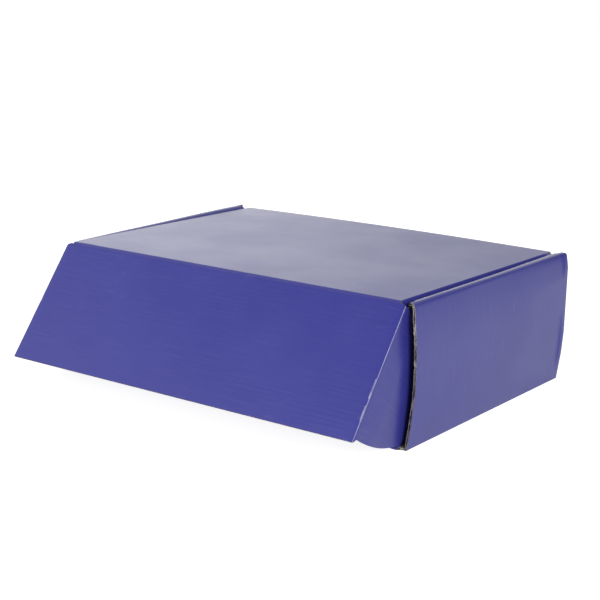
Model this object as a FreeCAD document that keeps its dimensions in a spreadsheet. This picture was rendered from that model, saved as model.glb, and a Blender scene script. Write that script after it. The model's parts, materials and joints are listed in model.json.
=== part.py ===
import FreeCAD, Part
import Sketcher
import math
import os

# Corrugated mailer box, folded from one die-cut sheet, in millimetres.
# X runs across the box, Y from the front to the back and Z up from the floor.
# The origin is the middle of the bottom panel's underside.
# The lid is shut and the front flap hangs open, with its two ears still in the side slots.

document = FreeCAD.newDocument("mailer_box")
sheet = document.addObject("Spreadsheet::Sheet", "Sizes")

# Driving dimensions: alias, value, meaning
SIZES = [
    ("width", 319.0, "outside width of the box at its bottom creases"),
    ("depth", 219.0, "length of the side walls, from front edge to rear edge"),
    ("height", 99.8, "top of the rolled side walls above the floor"),
    ("board", 1.6, "thickness of the corrugated board"),
    ("rolled", 10.6, "width of a rolled side wall across its top"),
    ("bow", 3.8, "how far a side wall bows outwards"),
    ("bowHeight", 57.0, "height of the fullest point of the bow"),
    ("rollRound", 5.0, "outside radius where a side wall rolls over"),
    ("innerRound", 4.2, "outside radius where the roll turns down inside"),
    ("rollLip", 4.6, "depth of the turned-down lip that carries the inner wall"),
    ("foldRound", 1.5, "outside radius of a plain fold"),
    ("lay", 0.1, "gap between layers of board that lie on each other"),
    ("gap", 0.25, "gap where a panel passes or meets another"),
    ("frontFoot", 1.8, "how far the front crease stands ahead of the side walls"),
    ("frontSet", 0.6, "how far the front wall's top edge stands behind their edges"),
    ("cornerFlap", 68.0, "length of the corner flaps inside the side walls"),
    ("cornerTaper", 9.0, "bevel at the end of a corner flap"),
    ("tabLength", 36.0, "length of the locking tabs under the inner walls"),
    ("tabPlace", 52.0, "distance of each tab from the middle of the wall"),
    ("tabHold", 0.3, "height of a tab's end above the floor"),
    ("lidRise", 0.4, "height of the lid's face above the rolled walls"),
    ("dustFlap", 26.0, "depth of the lid's side flaps, from the lid's face"),
    ("dustInset", 7.0, "distance of a side flap from the lid's front and back"),
    ("dustSlant", 9.0, "slant of each end of a side flap"),
    ("notch", 4.0, "size of the relief cut at the lid's back corners"),
    ("flapAngle", 36.7, "angle between the hanging flap and the upright, in degrees"),
    ("flapFoot", 0.4, "floor clearance of the flap's edge when the flap is shut"),
    ("neck", 3.6, "distance from the crease to the flap's shoulders and ears"),
    ("earLength", 77.0, "length of an ear from its crease to its end"),
    ("earRound", 22.0, "radius of the ear's lower rear corner"),
    ("earTip", 6.0, "radius of the ear's upper rear corner"),
    ("earFoot", 0.7, "clearance of the ear's curved edge over the bottom panel"),
    ("earLead", 2.0, "length of the ear's short straight edge beside its crease"),
]

for row, (alias, value, meaning) in enumerate(SIZES, start=1):
    sheet.set(f"A{row}", meaning)
    sheet.set(f"B{row}", str(value))
    sheet.setAlias(f"B{row}", alias)
document.recompute()


def formula(text):
    """Write every alias in the text as a reference to its cell."""
    for alias, _, _ in sorted(SIZES, key=lambda entry: -len(entry[0])):
        text = text.replace(f"[{alias}]", f"Sizes.{alias}")
    return f"({text})"


def number(text):
    """The value of a formula."""
    return float(sheet.evalExpression(text))


# Levels and faces that more than one panel uses
half_width = formula("[width] / 2")
front_edge = formula("-[depth] / 2")
rear_edge = formula("[depth] / 2")
inner_face = formula("[width] / 2 - [rolled]")
corner_face = formula(f"{inner_face} + [board] + [lay]")
corner_outside = formula(f"{corner_face} + [board]")
shoulder = formula("[height] - [rollLip] - [gap]")
lid_face = formula("[height] + [lidRise]")
lid_under = formula(f"{lid_face} - [board]")
lid_half = formula(f"{inner_face} - [gap]")
front_top = formula(f"{lid_under} - [gap]")
crease_height = formula(f"{lid_face} - [board] / 2")
crease_depth = formula(f"{front_edge} + [frontSet] - [gap] - [board] / 2")
floor_face = formula("[board]")


def new_body(label):
    body = document.addObject("PartDesign::Body", label)
    body.Label = label
    return body


def draw(body, name, plane, outline, offset="0"):
    """A closed outline of straight and round edges, every corner placed by formulas.

    Each corner is (x, y) before a straight edge or (x, y, radius) before an arc.
    A positive radius turns left along the outline, and a negative one right.
    """
    sketch = body.newObject("Sketcher::SketchObject", name)
    origin_plane = next(item for item in body.Origin.OriginFeatures if item.Role == plane)
    sketch.AttachmentSupport = [(origin_plane, "")]
    sketch.MapMode = "FlatFace"
    sketch.setExpression("AttachmentOffset.Base.z", offset)
    points = [FreeCAD.Vector(number(corner[0]), number(corner[1]), 0) for corner in outline]
    for index, corner in enumerate(outline):
        start = points[index]
        end = points[(index + 1) % len(points)]
        if len(corner) == 2:
            sketch.addGeometry(Part.LineSegment(start, end))
            continue
        radius = number(corner[2])
        chord = end - start
        reach = math.sqrt(max(radius ** 2 - (chord.Length / 2) ** 2, 0))
        left = FreeCAD.Vector(-chord.y, chord.x, 0).normalize()
        side = 1 if radius > 0 else -1
        centre = (start + end) / 2 + left * (reach * side)
        bulge = (start + end) / 2 - left * (side * (abs(radius) - reach))
        sketch.addGeometry(Part.Arc(start, bulge, end))
        arc = sketch.Geometry[index]
        assert (arc.Center - centre).Length < 1e-6
    # An arc drawn the other way round starts at the outline's next corner
    for index, corner in enumerate(outline):
        starts_here = (sketch.getPoint(index, 1) - points[index]).Length < 1e-6
        first, last = (1, 2) if starts_here else (2, 1)
        following = (index + 1) % len(points)
        next_starts = (sketch.getPoint(following, 1) - points[following]).Length < 1e-6
        sketch.addConstraint(
            Sketcher.Constraint("Coincident", index, last, following, 1 if next_starts else 2))
        for kind, text in (("DistanceX", corner[0]), ("DistanceY", corner[1])):
            which = sketch.addConstraint(
                Sketcher.Constraint(kind, -1, 1, index, first, number(text)))
            sketch.setExpression(f"Constraints[{which}]", text)
        if len(corner) == 3:
            which = sketch.addConstraint(
                Sketcher.Constraint("Radius", index, abs(number(corner[2]))))
            sketch.setExpression(f"Constraints[{which}]", f"abs({corner[2]})")
    return sketch


def pad(body, sketch, length, centred=False):
    feature = body.newObject("PartDesign::Pad", sketch.Name + "_pad")
    feature.Profile = sketch
    feature.SideType = "Symmetric" if centred else "One side"
    feature.setExpression("Length", length)
    sketch.Visibility = False
    return feature


def pocket_through(body, sketch, depth):
    """Cut half of the depth each way from the sketch's plane."""
    feature = body.newObject("PartDesign::Pocket", sketch.Name + "_cut")
    feature.Profile = sketch
    feature.SideType = "Symmetric"
    feature.setExpression("Length", depth)
    return feature


def mirror(body, name, features):
    """Repeat features on the left of the box."""
    feature = body.newObject("PartDesign::Mirrored", name)
    feature.Originals = features
    middle = next(item for item in body.Origin.OriginFeatures if item.Role == "YZ_Plane")
    feature.MirrorPlane = (middle, [""])
    body.Tip = feature
    return feature


def round_edges(body, name, is_fold, radius):
    """Round the straight edges of the body so far that lie on a fold."""
    document.recompute()
    base = body.Tip
    names = []
    for index, edge in enumerate(base.Shape.Edges, start=1):
        if edge.Curve.TypeId == "Part::GeomLine" and is_fold(edge):
            names.append(f"Edge{index}")
    assert names, f"{name} finds no edge"
    feature = body.newObject("PartDesign::Fillet", name)
    feature.Base = (base, names)
    feature.setExpression("Radius", radius)
    return feature


def near(value, text):
    return abs(value - number(text)) < 0.01


# Tray: bottom, front and back walls, corner flaps and the rolled side walls, one folded sheet
tray = new_body("tray")

bottom = draw(tray, "bottom", "XY_Plane", [
    (f"-{half_width} + Sizes.foldRound", front_edge),
    (f"{half_width} - Sizes.foldRound", front_edge),
    (f"{half_width} - Sizes.foldRound", rear_edge),
    (f"-{half_width} + Sizes.foldRound", rear_edge),
])
bottom_pad = pad(tray, bottom, floor_face)

# Slots for the tabs of both inner walls
for name, side in (("right", 1), ("left", -1)):
    for end, along in (("front", -1), ("rear", 1)):
        slot_inner = formula(f"{side} * ({inner_face} - [lay])")
        slot_outer = formula(f"{side} * ({inner_face} + [board] + [lay])")
        slot_low = formula(f"{along} * [tabPlace] - [tabLength] / 2 - [gap]")
        slot_high = formula(f"{along} * [tabPlace] + [tabLength] / 2 + [gap]")
        slot = draw(tray, f"{name}_{end}_slot", "XY_Plane", [
            (slot_inner, slot_low), (slot_outer, slot_low),
            (slot_outer, slot_high), (slot_inner, slot_high)])
        pocket_through(tray, slot, formula("4 * [board]"))

# Section of the right side wall: up the bowed outer wall, over the roll and down to its lip
peak = formula(f"{half_width} + [bow]")
low_radius = formula("(([bowHeight] - [foldRound])^2 + [bow]^2) / (2 * [bow])")
roll_x = formula(f"{half_width} - [rollRound]")
roll_z = formula("[height] - [rollRound]")
peak_run = formula(f"{peak} - {roll_x}")
peak_rise = formula(f"{roll_z} - [bowHeight]")
high_radius = formula(
    f"({peak_run}^2 + {peak_rise}^2 - [rollRound]^2) / (2 * ({peak_run} - [rollRound]))")
turn_x = formula(f"({high_radius} - {peak_run}) / ({high_radius} - [rollRound])")
turn_z = formula(f"{peak_rise} / ({high_radius} - [rollRound])")
inner_roll = formula("[rollRound] - [board]")
inner_foot = formula(
    f"{peak} - {low_radius} + sqrt(({low_radius} - [board])^2 - ([bowHeight] - [board])^2)")

side_wall = draw(tray, "side_wall", "XZ_Plane", [
    (formula(f"{half_width} - 2 * [foldRound] - [board]"), "0"),
    (formula(f"{half_width} - [foldRound]"), "0", "Sizes.foldRound"),
    (half_width, "Sizes.foldRound", low_radius),
    (peak, "Sizes.bowHeight", high_radius),
    (formula(f"{roll_x} + [rollRound] * {turn_x}"),
     formula(f"{roll_z} + [rollRound] * {turn_z}"), "Sizes.rollRound"),
    (roll_x, "Sizes.height"),
    (formula(f"{inner_face} + [innerRound]"), "Sizes.height", "Sizes.innerRound"),
    (inner_face, formula("[height] - [innerRound]")),
    (inner_face, formula("[height] - [rollLip]")),
    (formula(f"{inner_face} + [board]"), formula("[height] - [rollLip]")),
    (formula(f"{inner_face} + [board]"), formula("[height] - [innerRound]"),
     formula("[board] - [innerRound]")),
    (formula(f"{inner_face} + [innerRound]"), formula("[height] - [board]")),
    (roll_x, formula("[height] - [board]"), formula("[board] - [rollRound]")),
    (formula(f"{roll_x} + {inner_roll} * {turn_x}"),
     formula(f"{roll_z} + {inner_roll} * {turn_z}"), formula(f"[board] - {high_radius}")),
    (formula(f"{peak} - [board]"), "Sizes.bowHeight", formula(f"[board] - {low_radius}")),
    (inner_foot, "Sizes.board"),
    (formula(f"{half_width} - 2 * [foldRound] - [board]"), "Sizes.board"),
])
side_wall_pad = pad(tray, side_wall, "Sizes.depth", centred=True)

# Inner wall: hangs from the roll's lip down to the bottom, with tabs that lock in slots
inner_front = formula(f"{front_edge} + [frontSet] + [board] + [gap]")
inner_rear = formula(f"{rear_edge} - [board] - [gap]")
inner_low = formula("[board] + [lay]")
inner_high = formula("[height] - [rollLip]")
wall_outline = [(inner_front, inner_low)]
for side in (-1, 1):
    middle = formula(f"{side} * [tabPlace]")
    wall_outline += [
        (formula(f"{middle} - [tabLength] / 2"), inner_low),
        (formula(f"{middle} - [tabLength] / 2 + [board]"), "Sizes.tabHold"),
        (formula(f"{middle} + [tabLength] / 2 - [board]"), "Sizes.tabHold"),
        (formula(f"{middle} + [tabLength] / 2"), inner_low),
    ]
wall_outline += [(inner_rear, inner_low), (inner_rear, inner_high), (inner_front, inner_high)]
inner_wall = draw(tray, "inner_wall", "YZ_Plane", wall_outline, offset=inner_face)
inner_wall_pad = pad(tray, inner_wall, "Sizes.board")

# Reliefs at both ends of the roll: the lip stops short of the front and back walls
relief_inner = formula(f"{inner_face} - [gap]")
relief_outer = formula(f"{inner_face} + [innerRound]")
reliefs = []
for name, low, high in (
        ("front_relief", formula(f"{front_edge} - [gap]"), inner_front),
        ("rear_relief", inner_rear, formula(f"{rear_edge} + [gap]"))):
    relief = draw(tray, name, "XY_Plane", [
        (relief_inner, low), (relief_outer, low), (relief_outer, high), (relief_inner, high),
    ], offset=formula("[height] - [rollLip] / 2"))
    reliefs.append(pocket_through(tray, relief, formula("2 * [rollLip]")))
mirror(tray, "left_side_wall", [side_wall_pad, inner_wall_pad] + reliefs)


def wall_section(foot, top, top_level, way):
    """Section of the front or back wall, from its crease in the bottom to its top edge."""
    return [
        (formula(f"{foot} + {way} * (3 * [board] + [foldRound])"), "0"),
        (formula(f"{foot} + {way} * [foldRound]"), "0", formula(f"-{way} * [foldRound]")),
        (foot, "Sizes.foldRound"),
        (top, top_level),
        (formula(f"{top} + {way} * [board]"), top_level),
        (formula(f"{foot} + {way} * [board]"), "Sizes.board"),
        (formula(f"{foot} + {way} * (3 * [board] + [foldRound])"), "Sizes.board"),
    ]


def set_back(level):
    """Depth of the leaning front wall's outer face at a level."""
    lean = f"([frontFoot] + [frontSet]) / ({front_top} - [foldRound])"
    return formula(f"{front_edge} - [frontFoot] + ({level} - [foldRound]) * {lean}")


front_foot = formula(f"{front_edge} - [frontFoot]")
front_middle = draw(tray, "front_middle", "YZ_Plane",
                    wall_section(front_foot, set_back(front_top), front_top, 1))
front_middle_pad = pad(tray, front_middle, formula(f"2 * {lid_half}"), centred=True)
front_wall = draw(tray, "front_wall", "YZ_Plane",
                  wall_section(front_foot, set_back(shoulder), shoulder, 1))
front_wall_pad = pad(tray, front_wall, formula(f"2 * {corner_outside}"), centred=True)

back_middle = draw(tray, "back_middle", "YZ_Plane",
                   wall_section(rear_edge, rear_edge, lid_under, -1))
back_middle_pad = pad(tray, back_middle, formula(f"2 * {lid_half}"), centred=True)
back_wall = draw(tray, "back_wall", "YZ_Plane",
                 wall_section(rear_edge, rear_edge, shoulder, -1))
back_wall_pad = pad(tray, back_wall, formula(f"2 * {corner_outside}"), centred=True)


def corner_outline(low_start, high_start, way):
    """A corner flap, folded back from the front or back wall, with a bevelled end."""
    base = formula("[board] + [gap]")
    reach = formula(f"{low_start} + {way} * [cornerFlap]")
    before = formula(f"{reach} - {way} * [cornerTaper]")
    return [
        (low_start, base),
        (before, base),
        (reach, formula(f"{base} + 2 * [cornerTaper]")),
        (reach, formula(f"{shoulder} - 2 * [cornerTaper]")),
        (before, shoulder),
        (high_start, shoulder),
    ]


front_corner = draw(tray, "front_corner_flap", "YZ_Plane", corner_outline(
    formula(f"{set_back('([board] + [gap])')} + [board] / 2"),
    formula(f"{set_back(shoulder)} + [board] / 2"), 1), offset=corner_face)
front_corner_pad = pad(tray, front_corner, "Sizes.board")
rear_corner = draw(tray, "rear_corner_flap", "YZ_Plane", corner_outline(
    formula(f"{rear_edge} - [board] / 2"),
    formula(f"{rear_edge} - [board] / 2"), -1), offset=corner_face)
rear_corner_pad = pad(tray, rear_corner, "Sizes.board")
mirror(tray, "left_corner_flaps", [front_corner_pad, rear_corner_pad])


# The folds where the front and back walls turn into their corner flaps
round_edges(tray, "corner_folds", lambda edge: (
    all(near(abs(vertex.X), corner_outside) for vertex in edge.Vertexes)
    and abs(edge.tangentAt(edge.FirstParameter).z) > 0.9
    and (edge.CenterOfMass.y > number(rear_edge) - 0.1
         or edge.CenterOfMass.y < number(front_edge) + number("Sizes.frontSet"))
    and edge.Length > number("Sizes.height") / 2), "Sizes.foldRound")

# Lid: a panel that lies between the rolled walls, with a side flap folded down at each side
lid = new_body("lid")
lid_front = formula(f"{crease_depth} + [board] / 2 + [gap]")
panel_rear = formula(f"{rear_edge} - [notch]")
lid_panel = draw(lid, "lid_panel", "XY_Plane", [
    (f"-{lid_half}", lid_front),
    (lid_half, lid_front),
    (lid_half, panel_rear),
    (formula(f"{lid_half} - [notch]"), rear_edge),
    (formula(f"[notch] - {lid_half}"), rear_edge),
    (f"-{lid_half}", panel_rear),
], offset=lid_under)
lid_pad = pad(lid, lid_panel, "Sizes.board")

dust_front = formula(f"{front_edge} + [dustInset]")
dust_rear = formula(f"{rear_edge} - [dustInset]")
dust_low = formula(f"{lid_face} - [dustFlap]")
dust_flap = draw(lid, "dust_flap", "YZ_Plane", [
    (dust_front, lid_face),
    (formula(f"{dust_front} + [dustSlant]"), dust_low),
    (formula(f"{dust_rear} - [dustSlant]"), dust_low),
    (dust_rear, lid_face),
], offset=formula(f"{lid_half} - [board]"))
dust_pad = pad(lid, dust_flap, "Sizes.board")
mirror(lid, "left_dust_flap", [dust_pad])
round_edges(lid, "lid_folds", lambda edge: (
    all(near(vertex.Z, lid_face) for vertex in edge.Vertexes)
    and (near(abs(edge.CenterOfMass.x), lid_half) or near(edge.CenterOfMass.y, rear_edge))),
    formula("[foldRound] - [lay]"))

# Front flap: drawn about its crease as the origin, then hung at its angle.
# Its two ears are folded back into the slots between the outer walls and the corner flaps.
front_flap = new_body("front_flap")
flap_length = formula(f"{crease_height} - [flapFoot]")
ear_inside = formula(f"{corner_outside} + [gap]")
flap_half = formula(f"{ear_inside} + [board]")
half_board = formula("[board] / 2")
flap_neck = draw(front_flap, "flap_neck", "YZ_Plane", [
    (f"-{half_board}", "0"),
    (f"-{half_board}", formula("-2 * [neck]")),
    (half_board, formula("-2 * [neck]")),
    (half_board, "0", half_board),
    ("0", half_board, half_board),
])
pad(front_flap, flap_neck, formula(f"2 * {lid_half}"), centred=True)
flap_panel = draw(front_flap, "flap_panel", "XZ_Plane", [
    (f"-{flap_half}", "-Sizes.neck"),
    (f"-{flap_half}", f"-{flap_length}"),
    (flap_half, f"-{flap_length}"),
    (flap_half, "-Sizes.neck"),
])
pad(front_flap, flap_panel, "Sizes.board", centred=True)

# The ear's long edge is an arc about the crease, so that it clears the bottom as it swings
ear_radius = formula(f"{crease_height} - [board] - [earFoot]")
lead_y = formula("[board] / 2 + [earLead]")
lead_z = formula(f"-sqrt({ear_radius}^2 - {lead_y}^2)")
tail_y = formula("[earLength] - [earRound]")
tail_reach = formula(f"{ear_radius} - [earRound]")
tail_z = formula(f"-sqrt({tail_reach}^2 - {tail_y}^2)")
ear = draw(front_flap, "ear", "YZ_Plane", [
    (f"-{half_board}", "-Sizes.neck"),
    (f"-{half_board}", f"-{flap_length}"),
    (half_board, f"-{flap_length}"),
    (lead_y, lead_z, ear_radius),
    (formula(f"{tail_y} * {ear_radius} / {tail_reach}"),
     formula(f"{tail_z} * {ear_radius} / {tail_reach}"), "Sizes.earRound"),
    ("Sizes.earLength", tail_z),
    ("Sizes.earLength", formula("-[neck] - [earTip]"), "Sizes.earTip"),
    (formula("[earLength] - [earTip]"), "-Sizes.neck"),
], offset=ear_inside)
ear_pad = pad(front_flap, ear, "Sizes.board")
mirror(front_flap, "left_ear", [ear_pad])
round_edges(front_flap, "ear_folds", lambda edge: (
    all(near(abs(vertex.X), flap_half) and near(vertex.Y, f"-{half_board}")
        for vertex in edge.Vertexes)), "Sizes.foldRound")
turn = FreeCAD.Rotation(FreeCAD.Vector(1, 0, 0), -number("Sizes.flapAngle"))
front_flap.Placement = FreeCAD.Placement(FreeCAD.Vector(0, 0, 0), turn)
front_flap.setExpression("Placement.Base.y", crease_depth)
front_flap.setExpression("Placement.Base.z", crease_height)
front_flap.setExpression("Placement.Rotation.Angle", "-Sizes.flapAngle")

document.recompute()
bodies = [tray, lid, front_flap]
for item in document.Objects:
    assert not {"Invalid", "Error"} & set(item.State), f"{item.Name} failed: {item.State}"
for body in bodies:
    shape = body.Shape
    assert not shape.isNull() and shape.isValid(), f"{body.Label} has no valid shape"
    assert len(shape.Solids) == 1, f"{body.Label} is not one solid"

os.makedirs("parts", exist_ok=True)
for body in bodies:
    body.Shape.exportStep(f"parts/{body.Label}.step")
    box = body.Shape.BoundBox
    print(f"{body.Label}: {body.Shape.Volume / 1000:.1f} cm3, "
          f"X {box.XMin:.1f} to {box.XMax:.1f}, Y {box.YMin:.1f} to {box.YMax:.1f}, "
          f"Z {box.ZMin:.1f} to {box.ZMax:.1f}")
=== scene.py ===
import json
import math
import random

import bmesh
import bpy
from mathutils import Matrix, Vector


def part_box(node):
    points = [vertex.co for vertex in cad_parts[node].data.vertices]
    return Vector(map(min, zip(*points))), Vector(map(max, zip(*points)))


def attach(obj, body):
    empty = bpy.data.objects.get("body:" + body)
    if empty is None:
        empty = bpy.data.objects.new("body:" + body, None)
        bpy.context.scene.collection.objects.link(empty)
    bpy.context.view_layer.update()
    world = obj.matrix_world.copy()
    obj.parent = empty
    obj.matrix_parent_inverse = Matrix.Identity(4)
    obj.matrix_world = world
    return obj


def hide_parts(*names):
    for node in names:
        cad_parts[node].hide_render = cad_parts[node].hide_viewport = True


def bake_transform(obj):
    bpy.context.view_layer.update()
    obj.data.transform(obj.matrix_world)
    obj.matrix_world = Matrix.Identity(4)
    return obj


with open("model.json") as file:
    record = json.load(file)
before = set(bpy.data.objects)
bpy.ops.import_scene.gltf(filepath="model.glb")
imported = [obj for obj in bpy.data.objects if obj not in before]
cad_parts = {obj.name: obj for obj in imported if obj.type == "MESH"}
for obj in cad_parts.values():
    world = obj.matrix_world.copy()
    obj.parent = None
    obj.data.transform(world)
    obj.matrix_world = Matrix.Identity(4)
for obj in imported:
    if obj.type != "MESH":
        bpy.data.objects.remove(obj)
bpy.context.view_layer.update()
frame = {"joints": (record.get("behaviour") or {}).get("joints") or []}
bpy.ops.object.select_all(action="DESELECT")

# The die-cut sheet: one board, printed on its outside, with these slots in each piece's material list
board = 0.0016
slotPlain, slotCut, slotFluted = 1, 2, 3  # the print is slot 0
foldSize = {"radius": 0.0009, "crushed": 0.42, "steps": 3, "sharp": 15, "shade": 35, "within": 0.98}
same, near = 0.00001, 0.0002  # places this close are one place, or beside each other

# Places read from the CAD frame, in metres
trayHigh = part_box("tray")[1]
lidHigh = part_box("lid")[1]
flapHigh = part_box("front_flap")[1]
crease = Vector(frame["joints"][0]["pos_m"])  # middle of the board where the flap turns
frontEdge, rearEdge = -trayHigh.y, trayHigh.y  # ends of the side walls
sidePeak = trayHigh.x  # fullest point of a bowed side wall
lidHalf = lidHigh.x
flapHalf = flapHigh.x
random.seed(11)


def report(stage):
    print("mailer box:", stage)


def smooth(value, low, high):
    share = min(max((value - low) / (high - low), 0.0), 1.0)
    return share * share * (3 - 2 * share)


# A flat sheet of faces between two corners, in edit mode with nothing selected.
def newGrid(name, low, high, z, columns, rows):
    bpy.ops.object.select_all(action="DESELECT")
    bpy.ops.mesh.primitive_grid_add(x_subdivisions=columns, y_subdivisions=rows, size=1)
    piece = bpy.context.object
    piece.name = name
    piece.scale = (high[0] - low[0], high[1] - low[1], 1)
    piece.location = ((low[0] + high[0]) / 2, (low[1] + high[1]) / 2, z)
    bpy.ops.object.transform_apply(location=True, rotation=True, scale=True)
    bpy.ops.object.mode_set(mode="EDIT")
    bpy.ops.mesh.select_all(action="DESELECT")
    return piece


# A row of edges where a plane crosses the sheet.
def cutAlong(point, normal):
    bpy.ops.mesh.select_all(action="SELECT")
    bpy.ops.mesh.bisect(plane_co=point, plane_no=normal)
    bpy.ops.mesh.select_all(action="DESELECT")


# Select the open edges whose two ends pass the test.
def pickEdges(piece, test):
    mesh = bmesh.from_edit_mesh(piece.data)
    bpy.ops.mesh.select_mode(type="EDGE")
    for face in mesh.faces:
        face.select = False
    for edge in mesh.edges:
        edge.select = edge.is_boundary and all(test(vert.co) for vert in edge.verts)
    mesh.select_flush_mode()
    bmesh.update_edit_mesh(piece.data)


# Remove the faces whose middles pass the test, and what they leave loose.
def removeFaces(piece, test):
    mesh = bmesh.from_edit_mesh(piece.data)
    for face in list(mesh.faces):
        if test(face.calc_center_median()):
            mesh.faces.remove(face)
    for edge in list(mesh.edges):
        if not edge.link_faces:
            mesh.edges.remove(edge)
    for vert in list(mesh.verts):
        if not vert.link_faces:
            mesh.verts.remove(vert)
    bmesh.update_edit_mesh(piece.data)


# Extrude the picked edges from one profile point to the next.
def foldOut(points):
    for before, after in zip(points, points[1:]):
        bpy.ops.mesh.extrude_region_move(TRANSFORM_OT_translate={"value": after - before})


# Points of a rounded corner between two straight runs.
def foldPoints(before, corner, after, radius, steps):
    back, ahead = (before - corner).normalized(), (after - corner).normalized()
    inside = back.angle(ahead)
    centre = corner + (back + ahead).normalized() * (radius / math.sin(inside / 2))
    start = corner + back * (radius / math.tan(inside / 2)) - centre
    end = corner + ahead * (radius / math.tan(inside / 2)) - centre
    sweep = start.angle(end)
    points = []
    for step in range(steps + 1):
        share = step / steps
        points.append(centre + start * (math.sin((1 - share) * sweep) / math.sin(sweep))
                      + end * (math.sin(share * sweep) / math.sin(sweep)))
    return points


# A path through (corner, radius) pairs, with its straight runs divided into steps.
def pathPoints(corners, step):
    points = [corners[0][0]]
    for index in range(1, len(corners)):
        corner, radius = corners[index]
        rounded = [corner]
        if radius and index + 1 < len(corners):
            rounded = foldPoints(corners[index - 1][0], corner, corners[index + 1][0], radius, foldSize["steps"])
        last = points[-1]
        count = max(1, math.ceil((rounded[0] - last).length / step))
        points += [last.lerp(rounded[0], part / count) for part in range(1, count + 1)]
        points += rounded[1:]
    return points


# Give the printed face its board behind it, its cut edges and the marks that the materials read.
# blank turns a point, its face's middle and normal into its place in the flat sheet, across the flutes last.
# wearOf says how worn a fold at a point is. facing is the way that the print of the largest face looks.
# Returns the number of points on the printed face.
def thicken(piece, materials, blank, wearOf, facing):
    for material in materials:
        piece.data.materials.append(material)
    mesh = bmesh.new()
    mesh.from_mesh(piece.data)
    bmesh.ops.remove_doubles(mesh, verts=mesh.verts, dist=2 * same)
    bmesh.ops.recalc_face_normals(mesh, faces=mesh.faces)
    if max(mesh.faces, key=lambda face: face.calc_area()).normal.dot(facing) < 0:
        bmesh.ops.reverse_faces(mesh, faces=mesh.faces)
    flat = mesh.loops.layers.uv.new("blank")
    fold = mesh.verts.layers.float.new("fold")
    wear = mesh.verts.layers.float.new("wear")
    mesh.normal_update()
    weights = {}
    for face in mesh.faces:
        face.smooth = True
        middle, normal = face.calc_center_median(), face.normal.copy()
        for loop in face.loops:
            loop[flat].uv = blank(loop.vert.co, middle, normal)
    mesh.verts.index_update()
    for vert in mesh.verts:
        folded = any(len(edge.link_faces) == 2 and edge.calc_face_angle() > math.radians(foldSize["sharp"])
                     for edge in vert.link_edges)
        weights[vert.index] = foldSize["crushed"] if folded else 1.0  # the share of the board left in a fold
        vert[fold] = 1.0 if folded else 0.0
        vert[wear] = wearOf(vert.co)
    mesh.to_mesh(piece.data)
    mesh.free()
    group = piece.vertex_groups.new(name="fullBoard")
    for index, weight in weights.items():
        group.add([index], weight, "REPLACE")
    count = len(piece.data.vertices)
    shell = piece.modifiers.new("board", "SOLIDIFY")
    shell.thickness = board
    shell.offset = -1
    shell.vertex_group = group.name
    shell.use_even_offset = True
    shell.material_offset = slotPlain
    shell.material_offset_rim = slotCut
    bpy.context.view_layer.objects.active = piece
    bpy.ops.object.modifier_apply(modifier=shell.name)
    piece.vertex_groups.clear()
    markCuts(piece, count)
    return count


# Lay a map on each cut edge: along the edge, and 0 to 1 across the board.
def markCuts(piece, count):
    mesh = bmesh.new()
    mesh.from_mesh(piece.data)
    mesh.verts.index_update()
    flat = mesh.loops.layers.uv["blank"]
    cut = mesh.loops.layers.uv.new("cut")
    for face in mesh.faces:
        if face.material_index != slotCut:
            continue
        face.smooth = False
        places = [loop[flat].uv for loop in face.loops]
        alongFlutes = max(place.x for place in places) - min(place.x for place in places)
        acrossFlutes = max(place.y for place in places) - min(place.y for place in places)
        crossing = acrossFlutes > alongFlutes
        for loop in face.loops:
            along = loop[flat].uv.y if crossing else loop[flat].uv.x
            loop[cut].uv = (along, 0.0 if loop.vert.index < count else 1.0)
        if crossing:
            face.material_index = slotFluted
    mesh.to_mesh(piece.data)
    mesh.free()


def finishPiece(piece):
    bpy.ops.object.select_all(action="DESELECT")
    piece.select_set(True)
    bpy.context.view_layer.objects.active = piece
    bpy.ops.object.shade_smooth_by_angle(angle=math.radians(foldSize["shade"]))
    piece.select_set(False)


def newGroup(name, inputs, outputs):
    group = bpy.data.node_groups.new(name, "ShaderNodeTree")
    for socketName, kind, value in inputs:
        socket = group.interface.new_socket(socketName, in_out="INPUT", socket_type=kind)
        if value is not None:
            socket.default_value = value
    for socketName, kind in outputs:
        group.interface.new_socket(socketName, in_out="OUTPUT", socket_type=kind)
    return group, group.nodes.new("NodeGroupInput"), group.nodes.new("NodeGroupOutput")


def mathNode(tree, operation, *values, clamp=False):
    node = tree.nodes.new("ShaderNodeMath")
    node.operation = operation
    node.use_clamp = clamp
    for socket, value in zip(node.inputs, values):
        if isinstance(value, (int, float)):
            socket.default_value = value
        else:
            tree.links.new(value, socket)
    return node.outputs[0]


def ramp(tree, value, low, high, toLow=0.0, toHigh=1.0):
    node = tree.nodes.new("ShaderNodeMapRange")
    node.interpolation_type = "SMOOTHSTEP"
    tree.links.new(value, node.inputs["Value"])
    node.inputs["From Min"].default_value = low
    node.inputs["From Max"].default_value = high
    node.inputs["To Min"].default_value = toLow
    node.inputs["To Max"].default_value = toHigh
    return node.outputs["Result"]


def noise(tree, vector, scale, detail=3.0, roughness=0.55):
    node = tree.nodes.new("ShaderNodeTexNoise")
    node.inputs["Scale"].default_value = scale
    node.inputs["Detail"].default_value = detail
    node.inputs["Roughness"].default_value = roughness
    tree.links.new(vector, node.inputs["Vector"])
    return node.outputs["Fac"]


def stretched(tree, vector, scale):
    node = tree.nodes.new("ShaderNodeMapping")
    node.inputs["Scale"].default_value = scale
    tree.links.new(vector, node.inputs["Vector"])
    return node.outputs["Vector"]


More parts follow.
